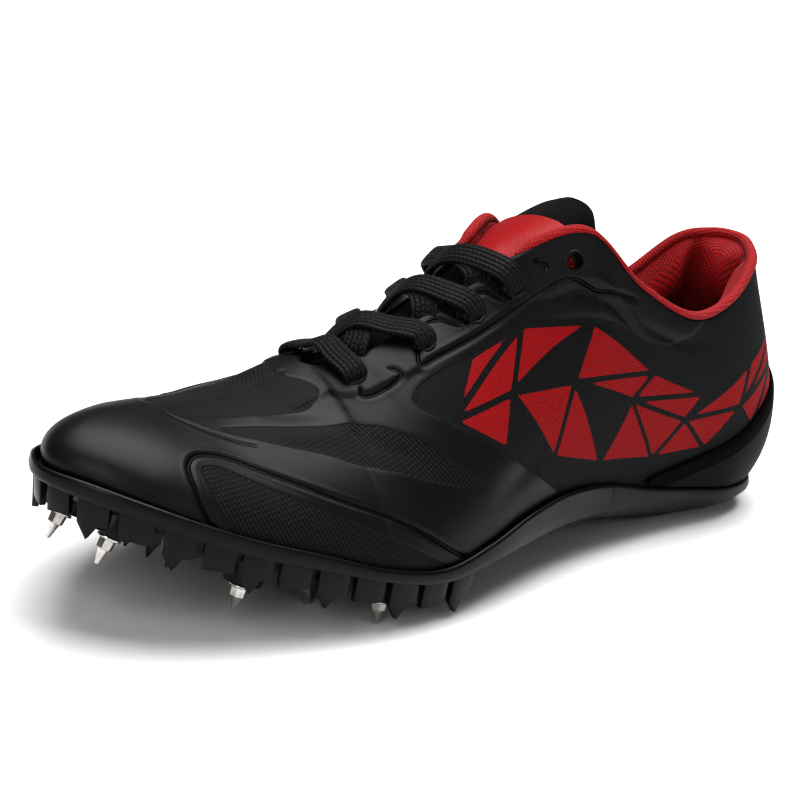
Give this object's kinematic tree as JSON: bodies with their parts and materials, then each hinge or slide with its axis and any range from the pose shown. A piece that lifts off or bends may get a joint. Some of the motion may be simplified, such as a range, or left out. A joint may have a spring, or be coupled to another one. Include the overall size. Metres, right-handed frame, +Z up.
{
  "type": "track spike shoe",
  "caption": "Left track spike shoe: hollow laced upper with padded collar, soft tongue and foam heel wedge, on a moulded forefoot plate with screw-in steel spikes.",
  "frame": {"origin": "centre of the heel's flat spot, on the floor", "axes": "+X to the toe along the shoe's length, +Y to the outer side of the left foot, +Z up"},
  "size_m": [0.2719, 0.0926, 0.101],
  "materials": {
    "film_upper": "satin film over mesh",
    "counter_film": "rough matt",
    "foam": "satin",
    "nylon_plate": "satin",
    "spike_steel": "satin",
    "insole_cloth": "matt",
    "red_lining": "matt mesh",
    "red_label": "satin weave",
    "tongue_knit": "matt knit",
    "lace_braid": "matt braid"
  },
  "bodies": {
    "root": {"upper": "film_upper", "midsole": "foam", "spike_plate": "nylon_plate", "spike_1": "spike_steel", "spike_2": "spike_steel", "spike_3": "spike_steel", "spike_4": "spike_steel", "spike_5": "spike_steel", "spike_6": "spike_steel", "spike_7": "spike_steel", "insole": "insole_cloth", "heel_counter": "counter_film", "collar_lining": "red_lining", "tongue": "tongue_knit", "tongue_label": "red_label", "lace_bar": "lace_braid", "lace_cross_1": "lace_braid", "lace_cross_2": "lace_braid", "lace_cross_3": "lace_braid"}
  },
  "joints": []
}
